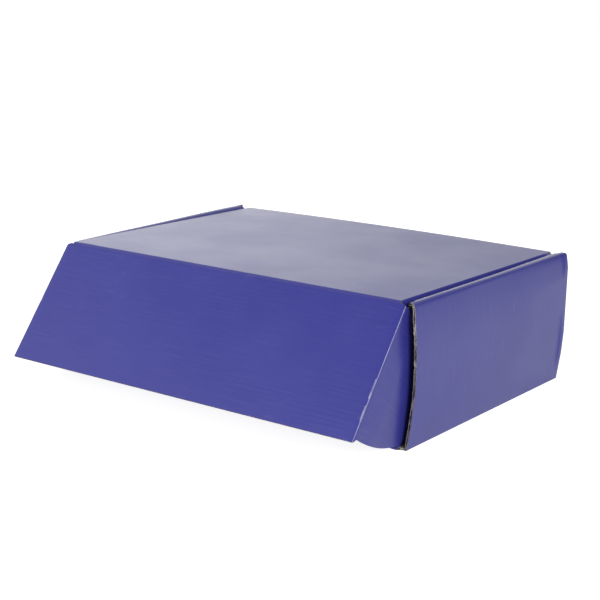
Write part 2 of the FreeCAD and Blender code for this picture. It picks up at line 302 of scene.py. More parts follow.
# Blend two colours (RGBA) or two numbers (VALUE) by a factor.
def mix(tree, kind, factor, first, second):
    node = tree.nodes.new("ShaderNodeMix")
    node.data_type = "RGBA" if kind == "RGBA" else "FLOAT"
    tree.links.new(factor, node.inputs["Factor"])
    for name, value in (("A", first), ("B", second)):
        socket = next(item for item in node.inputs if item.name == name and item.type == kind)
        if isinstance(value, (int, float, tuple)):
            socket.default_value = value
        else:
            tree.links.new(value, socket)
    return next(item for item in node.outputs if item.type == kind)


def addBump(tree, shader, height, distance):
    bump = tree.nodes.new("ShaderNodeBump")
    bump.inputs["Distance"].default_value = distance
    tree.links.new(height, bump.inputs["Height"])
    tree.links.new(bump.outputs["Normal"], shader.inputs["Normal"])


fluteLook = {"pitch": 0.0033, "wander": 5.4, "drift": (6, 40, 1), "patches": (9, 30, 1), "patchRange": (0.3, 0.7)}


# The flutes that show through the liner: a washboard across the flutes, uneven from place to place.
def makeFluteGroup():
    look = fluteLook
    group, source, result = newGroup(
        "fluteShow", [("Blank", "NodeSocketVector", None), ("Strength", "NodeSocketFloat", 1.0)],
        [("Height", "NodeSocketFloat")])
    split = group.nodes.new("ShaderNodeSeparateXYZ")
    group.links.new(source.outputs["Blank"], split.inputs[0])
    drift = noise(group, stretched(group, source.outputs["Blank"], look["drift"]), 1.0, 2.0)
    phase = mathNode(group, "MULTIPLY", split.outputs["Y"], 2 * math.pi / look["pitch"])
    phase = mathNode(group, "ADD", phase, mathNode(group, "MULTIPLY", drift, look["wander"]))
    patches = noise(group, stretched(group, source.outputs["Blank"], look["patches"]), 1.0, 3.0)
    strength = mathNode(group, "MULTIPLY", ramp(group, patches, *look["patchRange"]), source.outputs["Strength"])
    wave = mathNode(group, "MULTIPLY", mathNode(group, "SINE", phase), strength)
    group.links.new(wave, result.inputs["Height"])
    return group


wearLook = {"grain": 1100.0, "grainReach": 0.3, "line": (0.84, 1.0), "breaks": 150.0, "held": (1.00, 1.62)}


# Paper showing through the print along worn folds, broken up along their length.
def makeWearGroup():
    look = wearLook
    group, source, result = newGroup(
        "foldWear", [("Fold", "NodeSocketFloat", 0.0), ("Wear", "NodeSocketFloat", 0.0),
                     ("Place", "NodeSocketVector", None)],
        [("Mask", "NodeSocketFloat")])
    place = source.outputs["Place"]
    grain = mathNode(group, "SUBTRACT", noise(group, place, look["grain"], 3.0, 0.6), 0.5)
    reach = mathNode(group, "ADD", source.outputs["Fold"], mathNode(group, "MULTIPLY", grain, look["grainReach"]))
    breaks = mathNode(group, "ADD", noise(group, place, look["breaks"], 5.0, 0.7), source.outputs["Wear"])
    held = ramp(group, breaks, *look["held"])
    group.links.new(mathNode(group, "MULTIPLY", ramp(group, reach, *look["line"]), held), result.inputs["Mask"])
    return group


scuffLook = {
    "fine": (26, 620, 1), "fineRange": (0.46, 0.74), "fineAmount": 0.42,
    "streaks": (60, 190, 1), "streakRange": (0.55, 0.76), "clouds": 14.0, "cloudRange": (0.46, 0.66),
    "specks": 620.0, "speckRange": (0.74, 0.80), "speckAmount": 0.6,
}


# Faint pale streaks along the flutes, rub marks and specks on a handled print.
def makeScuffGroup():
    look = scuffLook
    group, source, result = newGroup(
        "handling", [("Place", "NodeSocketVector", None), ("Blank", "NodeSocketVector", None),
                     ("Amount", "NodeSocketFloat", 1.0)],
        [("Mask", "NodeSocketFloat"), ("Gloss", "NodeSocketFloat")])
    place, blank = source.outputs["Place"], source.outputs["Blank"]
    fine = noise(group, stretched(group, blank, look["fine"]), 1.0, 4.0, 0.6)
    fine = mathNode(group, "MULTIPLY", ramp(group, fine, *look["fineRange"]), look["fineAmount"])
    streaks = noise(group, stretched(group, blank, look["streaks"]), 1.0, 5.0, 0.65)
    clouds = noise(group, place, look["clouds"], 3.0)
    rub = mathNode(group, "MULTIPLY", ramp(group, streaks, *look["streakRange"]),
                   ramp(group, clouds, *look["cloudRange"]))
    specks = ramp(group, noise(group, place, look["specks"], 2.0), *look["speckRange"])
    both = mathNode(group, "ADD", rub, mathNode(group, "MULTIPLY", specks, look["speckAmount"]))
    both = mathNode(group, "ADD", both, fine, clamp=True)
    group.links.new(mathNode(group, "MULTIPLY", both, source.outputs["Amount"]), result.inputs["Mask"])
    group.links.new(clouds, result.inputs["Gloss"])
    return group


printedLook = {
    "ink": (0.043, 0.046, 0.330, 1), "inkDeep": (0.038, 0.040, 0.312, 1), "mottle": 22.0, "even": (0.3, 0.7),
    "paper": (0.44, 0.44, 0.64, 1), "rubbed": (0.120, 0.125, 0.380, 1), "scuffs": 0.34,
    "gloss": (0.36, 0.44), "wornGloss": 0.3, "coat": 0.6, "coatRoughness": 0.26,
    "fibre": 300.0, "fibreHeight": 0.25, "fluteHeight": 0.000014,
}


def startMaterial(name):
    material = bpy.data.materials.new(name)
    material.use_nodes = True
    tree = material.node_tree
    shader = next(node for node in tree.nodes if node.type == "BSDF_PRINCIPLED")
    return material, tree, shader


def addGroup(tree, group):
    node = tree.nodes.new("ShaderNodeGroup")
    node.node_tree = group
    return node


def attribute(tree, name):
    node = tree.nodes.new("ShaderNodeAttribute")
    node.attribute_name = name
    return node


def mapCoordinates(tree, name):
    node = tree.nodes.new("ShaderNodeUVMap")
    node.uv_map = name
    return node.outputs["UV"]


def objectPlace(tree):
    return tree.nodes.new("ShaderNodeTexCoord").outputs["Object"]


# Blue-violet flood print with a satin varnish, over the flutes.
def makePrinted(groups):
    look = printedLook
    material, tree, shader = startMaterial("printedBoard")
    place, blank = objectPlace(tree), mapCoordinates(tree, "blank")
    flutes = addGroup(tree, groups["flutes"])
    tree.links.new(blank, flutes.inputs["Blank"])
    handling = addGroup(tree, groups["handling"])
    tree.links.new(place, handling.inputs["Place"])
    tree.links.new(blank, handling.inputs["Blank"])
    handling.inputs["Amount"].default_value = look["scuffs"]
    wear = addGroup(tree, groups["wear"])
    tree.links.new(attribute(tree, "fold").outputs["Fac"], wear.inputs["Fold"])
    tree.links.new(attribute(tree, "wear").outputs["Fac"], wear.inputs["Wear"])
    tree.links.new(place, wear.inputs["Place"])
    mottle = ramp(tree, noise(tree, place, look["mottle"], 4.0), *look["even"])
    colour = mix(tree, "RGBA", mottle, look["ink"], look["inkDeep"])
    colour = mix(tree, "RGBA", handling.outputs["Mask"], colour, look["rubbed"])
    colour = mix(tree, "RGBA", wear.outputs["Mask"], colour, look["paper"])
    tree.links.new(colour, shader.inputs["Base Color"])
    shader.inputs["Coat Weight"].default_value = look["coat"]
    shader.inputs["Coat Roughness"].default_value = look["coatRoughness"]
    rough = ramp(tree, handling.outputs["Gloss"], *look["even"], *look["gloss"])
    rough = mathNode(tree, "ADD", rough, mathNode(tree, "MULTIPLY", wear.outputs["Mask"], look["wornGloss"]))
    tree.links.new(rough, shader.inputs["Roughness"])
    fibre = mathNode(tree, "MULTIPLY", noise(tree, place, look["fibre"], 3.0), look["fibreHeight"])
    addBump(tree, shader, mathNode(tree, "ADD", flutes.outputs["Height"], fibre), look["fluteHeight"])
    return material


plainLook = {
    "paper": (0.42, 0.385, 0.34, 1), "fibre": (0.33, 0.30, 0.26, 1), "speck": (0.16, 0.13, 0.10, 1),
    "roughness": 0.85, "fibres": (260, 260, 900), "specks": 700.0, "speckRange": (0.66, 0.74), "speckAmount": 0.5,
    "fibreRange": (0.35, 0.65), "height": 0.00008,
}


# Unprinted grey-brown liner on the inside of the sheet.
def makePlain(groups):
    look = plainLook
    material, tree, shader = startMaterial("plainLiner")
    place = objectPlace(tree)
    fibres = noise(tree, stretched(tree, place, look["fibres"]), 1.0, 4.0, 0.7)
    specks = ramp(tree, noise(tree, place, look["specks"], 2.0), *look["speckRange"])
    colour = mix(tree, "RGBA", ramp(tree, fibres, *look["fibreRange"]), look["paper"], look["fibre"])
    colour = mix(tree, "RGBA", mathNode(tree, "MULTIPLY", specks, look["speckAmount"]), colour, look["speck"])
    tree.links.new(colour, shader.inputs["Base Color"])
    shader.inputs["Roughness"].default_value = look["roughness"]
    flutes = addGroup(tree, groups["flutes"])
    tree.links.new(mapCoordinates(tree, "blank"), flutes.inputs["Blank"])
    addBump(tree, shader, mathNode(tree, "ADD", flutes.outputs["Height"], fibres), look["height"])
    return material


# The darkest colour here is painted shade, for the shadow inside the flutes' hollows.
cutLook = {
    "paper": (0.33, 0.30, 0.25, 1), "pale": (0.60, 0.56, 0.50, 1), "paintedVoidShade": (0.035, 0.03, 0.025, 1),
    "ink": (0.07, 0.07, 0.33, 1), "printRim": 0.07, "liner": 0.17, "wave": 0.28, "sheet": 0.13,
    "ragged": 520.0, "raggedReach": 0.35, "crushed": (420, 420, 120), "crushedRange": (0.42, 0.60),
    "grain": 800.0, "grainRange": (0.35, 0.68), "grainHeight": 0.4, "height": 0.0005, "roughness": 0.9,
}


# A cut edge: two liners with the fluted sheet between, as a wave where the cut crosses the flutes, and painted shade,
# near black, in the hollows between them.
def makeCut(name, crossing):
    look = cutLook
    material, tree, shader = startMaterial(name)
    place = objectPlace(tree)
    split = tree.nodes.new("ShaderNodeSeparateXYZ")
    tree.links.new(mapCoordinates(tree, "cut"), split.inputs[0])
    along, across = split.outputs["X"], split.outputs["Y"]
    ragged = mathNode(tree, "SUBTRACT", noise(tree, place, look["ragged"], 3.0), 0.5)
    across = mathNode(tree, "ADD", across, mathNode(tree, "MULTIPLY", ragged, look["raggedReach"]))
    fromMiddle = mathNode(tree, "ABSOLUTE", mathNode(tree, "SUBTRACT", across, 0.5))
    liner = ramp(tree, fromMiddle, 0.46 - look["liner"], 0.52 - look["liner"])
    if crossing:
        swing = mathNode(tree, "SINE", mathNode(tree, "MULTIPLY", along, 2 * math.pi / fluteLook["pitch"]))
        centre = mathNode(tree, "MULTIPLY_ADD", swing, look["wave"], 0.5)
        fromSheet = mathNode(tree, "ABSOLUTE", mathNode(tree, "SUBTRACT", across, centre))
        medium = ramp(tree, fromSheet, look["sheet"] / 2, look["sheet"], 1.0, 0.0)
    else:
        crushed = noise(tree, stretched(tree, place, look["crushed"]), 1.0, 4.0, 0.75)
        medium = ramp(tree, crushed, *look["crushedRange"])
    solid = mathNode(tree, "MAXIMUM", liner, medium)
    grain = noise(tree, place, look["grain"], 3.0)
    paper = mix(tree, "RGBA", ramp(tree, grain, *look["grainRange"]), look["paper"], look["pale"])
    # painted shade: where neither liner nor fluted sheet is, the edge takes a near-black colour for the shadow in the
    # hollows
    colour = mix(tree, "RGBA", solid, look["paintedVoidShade"], paper)
    rim = ramp(tree, across, look["printRim"], look["printRim"] * 0.4)
    colour = mix(tree, "RGBA", rim, colour, look["ink"])
    tree.links.new(colour, shader.inputs["Base Color"])
    shader.inputs["Roughness"].default_value = look["roughness"]
    grain = mathNode(tree, "MULTIPLY", grain, look["grainHeight"])
    addBump(tree, shader, mathNode(tree, "ADD", solid, grain), look["height"])
    return material


# Tray: bottom, rolled side walls, front and back walls and corner flaps, folded from one grid

traySize = {
    "bow": 0.0038, "bowHeight": 0.057, "bowStart": 0.0015, "rollRound": 0.0028, "rearRound": 0.0014,
    "innerRound": 0.0068, "rolled": 0.0106, "footRound": 0.0010, "footRun": 0.003,
    "arcSteps": (44, 28, 7), "profileStep": 0.008, "step": 0.0045, "columns": 20, "rows": 40,
    "lip": 0.0046, "lipStart": 0.0075, "lipEnd": 0.0055, "frontFoot": 0.0018, "frontSet": 0.0006,
    "cornerReach": 0.068, "cornerTaper": 0.009, "cornerSlope": 2, "cornerStart": 0.002,
    "lay": 0.0001, "gap": 0.00025,
    "tabLength": 0.036, "tabPlace": 0.052, "tabHold": 0.0003, "cutBand": 0.0012, "kinkCuts": (0.0062, 0.0042),
}

# How the walls have settled. Pairs say where a change starts and ends, mostly as shares of the depth or height.
traySet = {
    "outerFrom": 0.0004, "rolledFrom": 0.080, "rear": (0.45, 1.0), "front": (0.0, 0.30), "tighten": (0.1, 1.0),
    "spread": 0.0015, "spreadLevel": (0.55, 0.86), "spreadBack": 0.45, "backLevel": (0.95, 1.0),
    "dip": 0.0006, "dipLevel": 0.6, "draw": 0.0026, "drawLevel": (0.25, 0.95),
    "kink": 0.0009, "kinkBand": (0.0064, 0.0040), "kinkLevel": (0.02, 0.25), "peakRoom": 0.00005,
    "tilt": 0.0014, "tiltFrom": 0.088, "drop": 0.0022, "dropReach": 0.012,
    "rightRise": 0.0010, "leftRise": 0.0028, "riseLevel": (0.85, 1.0),
    "frontBand": 0.0002, "wallFrom": 0.003, "lean": 0.0012, "leanLevel": (0.85, 0.99),
    "foot": 0.0017, "footLevel": (0.0, 0.45), "bulge": 0.0042, "bulgeX": (0.130, 0.151), "bulgeZ": (0.0012, 0.0045),
    "reach": 0.0020, "reachX": (0.149, 0.1518), "ragged": 0.00022,
    "frayed": 0.0005, "frayX": 0.0045, "frayY": 0.0003, "frayZ": (0.003, 0.002),
    "frayShare": (0.35, 1.0), "frayRagged": (-1.2, 0.8),
}

wallEdge = sidePeak - traySize["bow"]  # foot of an outer side wall
innerX = wallEdge - traySize["rolled"]  # print of an inner side wall
cornerX = innerX + 2 * board + traySize["lay"]  # print of a corner flap
flapBase = board + traySize["gap"]  # low and high edges of a corner flap
shoulder = trayHigh.z - traySize["lip"] - traySize["gap"]


# Points of an arc in X and Z, as corners for pathPoints.
def arc(centreX, centreZ, radius, start, end, steps):
    angles = [start + (end - start) * step / steps for step in range(steps + 1)]
    return [(Vector((centreX + radius * math.cos(angle), 0, centreZ + radius * math.sin(angle))), 0)
            for angle in angles]


# The printed face up the bowed wall, over the roll and down the inner wall.
def wallProfile():
    size, top = traySize, trayHigh.z
    lowSpan = size["bowHeight"] - size["bowStart"]
    lowRadius = (lowSpan ** 2 + size["bow"] ** 2) / (2 * size["bow"])
    rollX, rollZ = wallEdge - size["rollRound"], top - size["rollRound"]
    run, rise = sidePeak - rollX, rollZ - size["bowHeight"]
    highRadius = (run ** 2 + rise ** 2 - size["rollRound"] ** 2) / (2 * (run - size["rollRound"]))
    foot = math.asin(-size["bowHeight"] / lowRadius)
    turn = math.asin(rise / (highRadius - size["rollRound"]))
    lowSteps, highSteps, roundSteps = size["arcSteps"]
    low = arc(sidePeak - lowRadius, size["bowHeight"], lowRadius, foot, 0, lowSteps)
    high = arc(sidePeak - highRadius, size["bowHeight"], highRadius, 0, turn, highSteps)
    roll = arc(rollX, rollZ, size["rollRound"], turn, math.pi / 2, roundSteps)
    inner = arc(innerX + size["innerRound"], top - size["innerRound"], size["innerRound"],
                math.pi / 2, math.pi, roundSteps)
    start = low[0][0]
    corners = [(Vector((start.x - size["footRun"], 0, 0)), 0), (start, size["footRound"])]
    corners += low[2:] + high[1:] + roll[1:] + inner
    corners.append((Vector((innerX, 0, board + size["lay"])), 0))
    return pathPoints(corners, size["profileStep"])


def makeTray():
    size, radius = traySize, foldSize["radius"]
    strip = cornerX - radius  # how far the front and back walls reach to each side
    profile = wallProfile()
    flatX = profile[0].x
    slotIn, slotOut = innerX - size["lay"], innerX + board + size["lay"]
    innerFront, innerRear = frontEdge + size["lipStart"], rearEdge - size["lipEnd"]
    tray = newGrid("trayBoard", (-flatX, frontEdge), (flatX, rearEdge), 0, size["columns"], size["rows"])
    for x in (lidHalf, slotIn, slotOut, strip):
        cutAlong((x, 0, 0), (1, 0, 0))
        cutAlong((-x, 0, 0), (1, 0, 0))
    tabEnds = [side * size["tabPlace"] + end * (size["tabLength"] / 2 + size["gap"])
               for side in (-1, 1) for end in (-1, 1)]
    for y in tabEnds + [innerFront, innerRear, frontEdge + size["cutBand"], rearEdge - size["cutBand"]]:
        cutAlong((0, y, 0), (0, 1, 0))
    for cut in size["kinkCuts"]:
        cutAlong((0, rearEdge - cut, 0), (0, 1, 0))
    removeFaces(tray, lambda middle: slotIn < abs(middle.x) < slotOut
                and abs(abs(middle.y) - size["tabPlace"]) < size["tabLength"] / 2)
    for side in (1, -1):
        pickEdges(tray, lambda co: abs(co.x - side * flatX) < same and abs(co.z) < same)
        foldOut([Vector((point.x * side, 0, point.z)) for point in profile])
    foldFrontAndBack(tray, strip)

    # reliefs at the ends of the rolled lips
    def onLipEnd(middle):
        roundTop = trayHigh.z - size["innerRound"]
        onRoll = innerX - same < abs(middle.x) < innerX + size["innerRound"] and middle.z > roundTop
        onInner = abs(abs(middle.x) - innerX) < same and middle.z > board
        return (onRoll or onInner) and not innerFront < middle.y < innerRear
    removeFaces(tray, onLipEnd)
    bpy.ops.object.mode_set(mode="OBJECT")
    trimTray(tray)
    settleTray(tray)
    bpy.ops.object.select_all(action="DESELECT")
    report("tray folded")
    return tray


# The front and back walls, which lie between the corner flaps, and the corner flaps folded back beside them.
def foldFrontAndBack(tray, strip):
    size, radius = traySize, foldSize["radius"]
    frontFoot, frontTop = frontEdge - size["frontFoot"], frontEdge + size["frontSet"]
    for way, foot, top, height in ((-1, frontFoot, frontTop, lidHigh.z - board - size["gap"]),
                                   (1, rearEdge, rearEdge, lidHigh.z - board)):
        def wallAt(z):
            return Vector((0, foot + (top - foot) * z / height, z))
        start = Vector((0, frontEdge, 0))
        if way > 0:
            start = Vector((0, rearEdge - radius, 0))
            mesh = bmesh.from_edit_mesh(tray.data)
            for vert in mesh.verts:
                if abs(vert.co.y - rearEdge) < same and abs(vert.co.x) < strip + same and vert.co.z < same:
                    vert.co.y = start.y
            bmesh.update_edit_mesh(tray.data)
        path = pathPoints([(start, 0), (wallAt(0), radius), (wallAt(flapBase), 0), (wallAt(shoulder), 0)],
                          size["step"])
        if (path[1] - path[0]).length < same:
            path = path[1:]
        pickEdges(tray, lambda co: abs(co.y - start.y) < same and abs(co.x) < strip + same and abs(co.z) < same)
        foldOut(path)
        pickEdges(tray, lambda co: (co - wallAt(shoulder) - Vector((co.x, 0, 0))).length < same
                  and abs(co.x) < lidHalf + same)
        foldOut([wallAt(shoulder), wallAt(height)])
        for side in (1, -1):
            pickEdges(tray, lambda co: abs(co.x - side * strip) < same
                      and flapBase - same < co.z < shoulder + same and abs(co.y - wallAt(co.z).y) < same)
            corner = Vector((side * radius, 0, 0))
            foldOut(pathPoints([(Vector((0, 0, 0)), 0), (corner, radius * foldSize["within"]),
                                (corner + Vector((0, -way * size["cornerReach"], 0)), 0)], size["step"]))


# Bevel the corner flaps' ends and lengthen the tabs.
def trimTray(tray):
    size = traySize
    for vert in tray.data.vertices:
        co = vert.co
        end = size["cornerReach"] - abs(abs(co.y) - rearEdge)
        onFlap = abs(abs(co.x) - cornerX) < same and co.z > flapBase - same
        if onFlap and abs(co.y) < rearEdge - size["cornerStart"] and end < size["cornerTaper"]:
            cutIn = size["cornerSlope"] * (size["cornerTaper"] - max(end, 0))
            share = (co.z - flapBase) / (shoulder - flapBase)
            co.z = flapBase + cutIn + share * (shoulder - flapBase - 2 * cutIn)
        onTab = abs(abs(co.x) - innerX) < same and abs(co.z - board - size["lay"]) < same
        if onTab and abs(abs(co.y) - size["tabPlace"]) < size["tabLength"] / 2:
            co.z = size["tabHold"]


# Pull a point of the outer roll's arc towards the tighter arc of the rear end.
def tightenRoll(co, share):
    wide, tight = traySize["rollRound"], traySize["rearRound"]
    wideCentre = Vector((wallEdge - wide, trayHigh.z - wide))
    tightCentre = Vector((wallEdge - tight, trayHigh.z - tight))
    spoke = (Vector((abs(co.x), co.z)) - wideCentre) / wide
    place = (wideCentre + spoke * wide).lerp(tightCentre + spoke * tight, share)
    co.x, co.z = math.copysign(place.x, co.x), place.y


# Give the side walls and the foot of the front wall their uneven set.
def settleTray(tray):
    size, settled = traySize, traySet
    for vert in tray.data.vertices:
        co = vert.co
        side = math.copysign(1, co.x)
        along = (co.y - frontEdge) / (rearEdge - frontEdge)  # 0 at the front, 1 at the rear
        level = co.z / trayHigh.z
        onOuter = abs(co.x) > wallEdge - size["rollRound"] - same
        outer = onOuter and co.z > settled["outerFrom"]
        rolled = abs(co.x) > innerX - same and co.z > settled["rolledFrom"]
        rear, front = smooth(along, *settled["rear"]), 1 - smooth(along, *settled["front"])
        if onOuter and co.z > trayHigh.z - size["rollRound"] - same:
            tightenRoll(co, smooth(along, *settled["tighten"]))
        share = min(max((abs(co.x) - innerX) / size["rolled"], 0.0), 1.0)
        if (outer or rolled) and share > 0:
            # the fullest line climbs towards the rear, where the roll stands wider and squarer
            spread = smooth(level, *settled["spreadLevel"])
            spread -= settled["spreadBack"] * smooth(level, *settled["backLevel"])
            dip = math.sin(math.pi * min(level / settled["dipLevel"], 1.0))
            shift = rear * (settled["spread"] * spread - settled["dip"] * dip)
            if side < 0:
                shift -= front * settled["draw"] * smooth(level, *settled["drawLevel"])
            kinkStart, kinkEnd = (rearEdge - band for band in settled["kinkBand"])
            shift += settled["kink"] * smooth(co.y, kinkStart, kinkEnd) * smooth(level, *settled["kinkLevel"])
            co.x = side * min(abs(co.x) + shift * share, sidePeak - settled["peakRoom"])
        if rolled and side < 0:
            # the left roll leans outwards, and dips at its front end
            co.z -= settled["tilt"] * share * smooth(co.z, settled["tiltFrom"], trayHigh.z)
            co.z -= settled["drop"] * (1 - smooth(co.y, frontEdge, frontEdge + settled["dropReach"]))
        if rolled:
            lift = rear * settled["rightRise"] if side > 0 else smooth(along, 0.0, 1.0) * settled["leftRise"]
            co.z += lift * smooth(level, *settled["riseLevel"])
        # the side walls' front edges lean forward, and the foot of the front wall bulges at its ends
        if co.y < frontEdge + settled["frontBand"]:
            if abs(co.x) > cornerX + settled["wallFrom"]:
                co.y -= settled["lean"] * (1 - smooth(level, *settled["leanLevel"]))
                co.y -= settled["foot"] * (1 - smooth(level, *settled["footLevel"]))
                co.y += random.uniform(-1, 1) * settled["ragged"]
            else:
                low = 1 - smooth(co.z, *settled["bulgeZ"])
                co.y -= settled["bulge"] * low * smooth(abs(co.x), *settled["bulgeX"])
                co.x += side * settled["reach"] * low * smooth(abs(co.x), *settled["reachX"])


# Fray the inside of the side walls' front cut edges.
def frayTray(tray, count):
    settled = traySet
    lowest, highest = settled["frayZ"][0], trayHigh.z - settled["frayZ"][1]
    for vert in tray.data.vertices[count:]:
        co = vert.co
        if co.y < frontEdge + settled["frayY"] and abs(co.x) > wallEdge - settled["frayX"] and lowest < co.z < highest:
            pull = settled["frayed"] * random.uniform(*settled["frayShare"])
            co.x -= math.copysign(pull, co.x)
            co.y += random.uniform(*settled["frayRagged"]) * settled["ragged"]


# How far a face is turned when it faces an axis, and how near it lies to a corner flap or an ear.
blankLimits = {"turned": 0.7, "cornerX": 0.0003, "cornerY": 0.0005, "earTop": 0.003}


# Place in the flat sheet: along the flutes, then across them.
def trayBlank(place, middle, normal):
    limits = blankLimits
    if abs(normal.y) > limits["turned"]:
        return (place.x, place.z)
    onCorner = abs(abs(middle.x) - cornerX) < limits["cornerX"] and abs(middle.y) < rearEdge - limits["cornerY"]
    if abs(normal.x) > limits["turned"] and onCorner:
        return (place.y, place.z)
    return (place.x + place.z, place.y)


# Lid and front flap: one sheet that bends at the crease, with the two ears folded back

flapSize = {
    "angle": 36.7, "neck": 0.0026, "foot": 0.0004, "shoulderCurve": 0.6, "step": 0.0032, "columns": 44, "rows": 40,
    "past": 0.001, "bevelStep": 0.0011,
    "bevelSet": 0.0011, "bevelRun": 0.0016, "bevelRound": 0.0006, "valley": 0.00012, "ridgeRun": 0.0021,
    "lipFront": 0.0020, "lipDepth": 0.0032, "lipRadius": 0.0004, "cornerCut": (0.0110, 0.0038),
    "rearRise": 0.0013, "riseFrom": -0.02,
    "earLength": 0.077, "earRound": 0.022, "earTip": 0.006, "earFoot": 0.0007, "earStep": 0.0026,
    "trim": (0.0018, 0.0014), "bite": 0.0035, "biteFrom": (0.0550, 0.0570), "biteTo": (0.0600, 0.0625),
    "lowCorner": (0.0006, 0.0030), "flare": 0.0022, "flareReach": 0.020, "flareHeight": 0.095,
    "flareEnd": (0.002, 0.018),
    "dustInset": 0.007, "dustSlant": 0.009, "dustDepth": 0.026, "dustNose": 0.0045, "noseDepth": (0.002, 0.010),
    "dustGrid": (44, 6),
}

hangAngle = math.radians(flapSize["angle"])
flapDown = Vector((0, -math.sin(hangAngle), -math.cos(hangAngle)))  # along the flap, away from the crease
flapIn = Vector((0, math.cos(hangAngle), -math.sin(hangAngle)))  # from the flap towards the box


# Distances of a point from the crease: down the flap, and in from the middle of its board.
def flapPlace(co):
    offset = Vector((0, co.y - crease.y, co.z - crease.z))
    return offset.dot(flapDown), offset.dot(flapIn)


def flapPoint(run, out):
    return crease + flapDown * run - flapIn * out


# The printed face from the lid's top over the crease, with a bevelled line pressed below it, and down the flap.
def flapProfile(frontY, length):
    size, half = flapSize, board / 2
    bevelTop = Vector((0, frontY + size["bevelSet"], lidHigh.z))
    bevelLow = flapPoint(size["bevelRun"], half - size["valley"])
    points = foldPoints(bevelTop + Vector((0, 1, 0)), bevelTop, bevelLow, size["bevelRound"], 2)
    points += pathPoints([(points[-1], 0), (bevelLow, 0)], size["bevelStep"])[1:]
    runs = [flapPoint(run, half) for run in (size["ridgeRun"], size["neck"], length)]
    return points + pathPoints([(point, 0) for point in [bevelLow] + runs], size["step"])[1:]


def makeLidSheet():
    size, radius = flapSize, foldSize["radius"]
    half = board / 2
    top = lidHigh.z
    length = crease.z - size["foot"]
    frontY = crease.y - half * math.tan((math.pi / 2 - hangAngle) / 2)
    rearY = rearEdge - radius
    flatX, earFold = lidHalf - radius, flapHalf - radius
    front = flapProfile(frontY, length)
    startY = front[0].y
    sheet = newGrid("lidBoard", (-flatX, startY), (flatX, rearY), top, size["columns"], size["rows"])
    lipFront = crease.y + size["lipFront"]
    cutWide, cutDeep = size["cornerCut"]
    lipRear = rearEdge - cutDeep
    cutAlong((0, lipFront, 0), (0, 1, 0))
    cutAlong((0, lipRear, 0), (0, 1, 0))
    for side in (1, -1):
        cutAlong((side * lidHalf, lipRear, 0), (side * cutDeep, cutWide, 0))
    removeFaces(sheet, lambda middle: (abs(middle.x) - lidHalf) * cutDeep + (middle.y - lipRear) * cutWide > 0)
    # the lid's sides fold down, clear of the crease
    for side in (1, -1):
        start, corner = Vector((side * flatX, 0, top)), Vector((side * lidHalf, 0, top))
        pickEdges(sheet, lambda co: abs(co.x - side * flatX) < same
                  and lipFront - same < co.y < lipRear + size["past"])
        foldOut(pathPoints([(start, 0), (corner, size["lipRadius"]),
                            (corner - Vector((0, 0, size["lipDepth"])), 0)], 1))
        pickEdges(sheet, lambda co: abs(co.x - side * flatX) < same and co.y < lipFront + same)
        foldOut([start, corner])
    # the back crease turns down onto the back wall
    pickEdges(sheet, lambda co: abs(co.y - rearY) < same and abs(co.z - top) < same)
    foldOut(pathPoints([(Vector((0, 0, top)), 0), (Vector((0, rearEdge, top)), radius),
                        (Vector((0, rearEdge, lidHigh.z - board)), 0)], 1)[1:])
    # the front crease and the flap
    pickEdges(sheet, lambda co: abs(co.y - startY) < same and abs(co.z - top) < same)
    foldOut(front)
    # shoulders and ears
    for side in (1, -1):
        across = Vector((side, 0, 0))
        pickEdges(sheet, lambda co: abs(co.x - side * lidHalf) < same and flapPlace(co)[0] > near
                  and co.y < crease.y - near)
        foldOut([Vector((0, 0, 0)), across * (earFold - lidHalf)])
        mesh = bmesh.from_edit_mesh(sheet.data)
        for vert in mesh.verts:
            run = flapPlace(vert.co)[0]
            if abs(vert.co.x - side * earFold) < same and run < size["neck"] - same:
                share = (max(run, 0) / size["neck"]) ** size["shoulderCurve"]
                vert.co.x = side * (lidHalf + near + share * (earFold - lidHalf))
        bmesh.update_edit_mesh(sheet.data)
        pickEdges(sheet, lambda co: abs(co.x - side * earFold) < same and flapPlace(co)[0] > size["neck"] - same)
        corner = across * radius
        foldOut(pathPoints([(Vector((0, 0, 0)), 0), (corner, radius * foldSize["within"]),
                            (corner + flapIn * (size["earLength"] + half), 0)], size["earStep"]))
    bpy.ops.object.mode_set(mode="OBJECT")
    shapeLid(sheet)
    shapeEars(sheet, length)
    bpy.ops.object.select_all(action="DESELECT")
    report("lid and flap folded")
    return sheet


# The lid's back edge is bowed up a little.
def shapeLid(sheet):
    size = flapSize
    for vert in sheet.data.vertices:
        co = vert.co
        if co.y > crease.y + size["past"] and co.z > lidHigh.z - board + same and abs(co.x) < lidHalf + same:
            along = smooth(co.y, size["riseFrom"], rearEdge)
            across = 1 - (co.x / lidHalf) ** 2
            co.z += size["rearRise"] * along * across


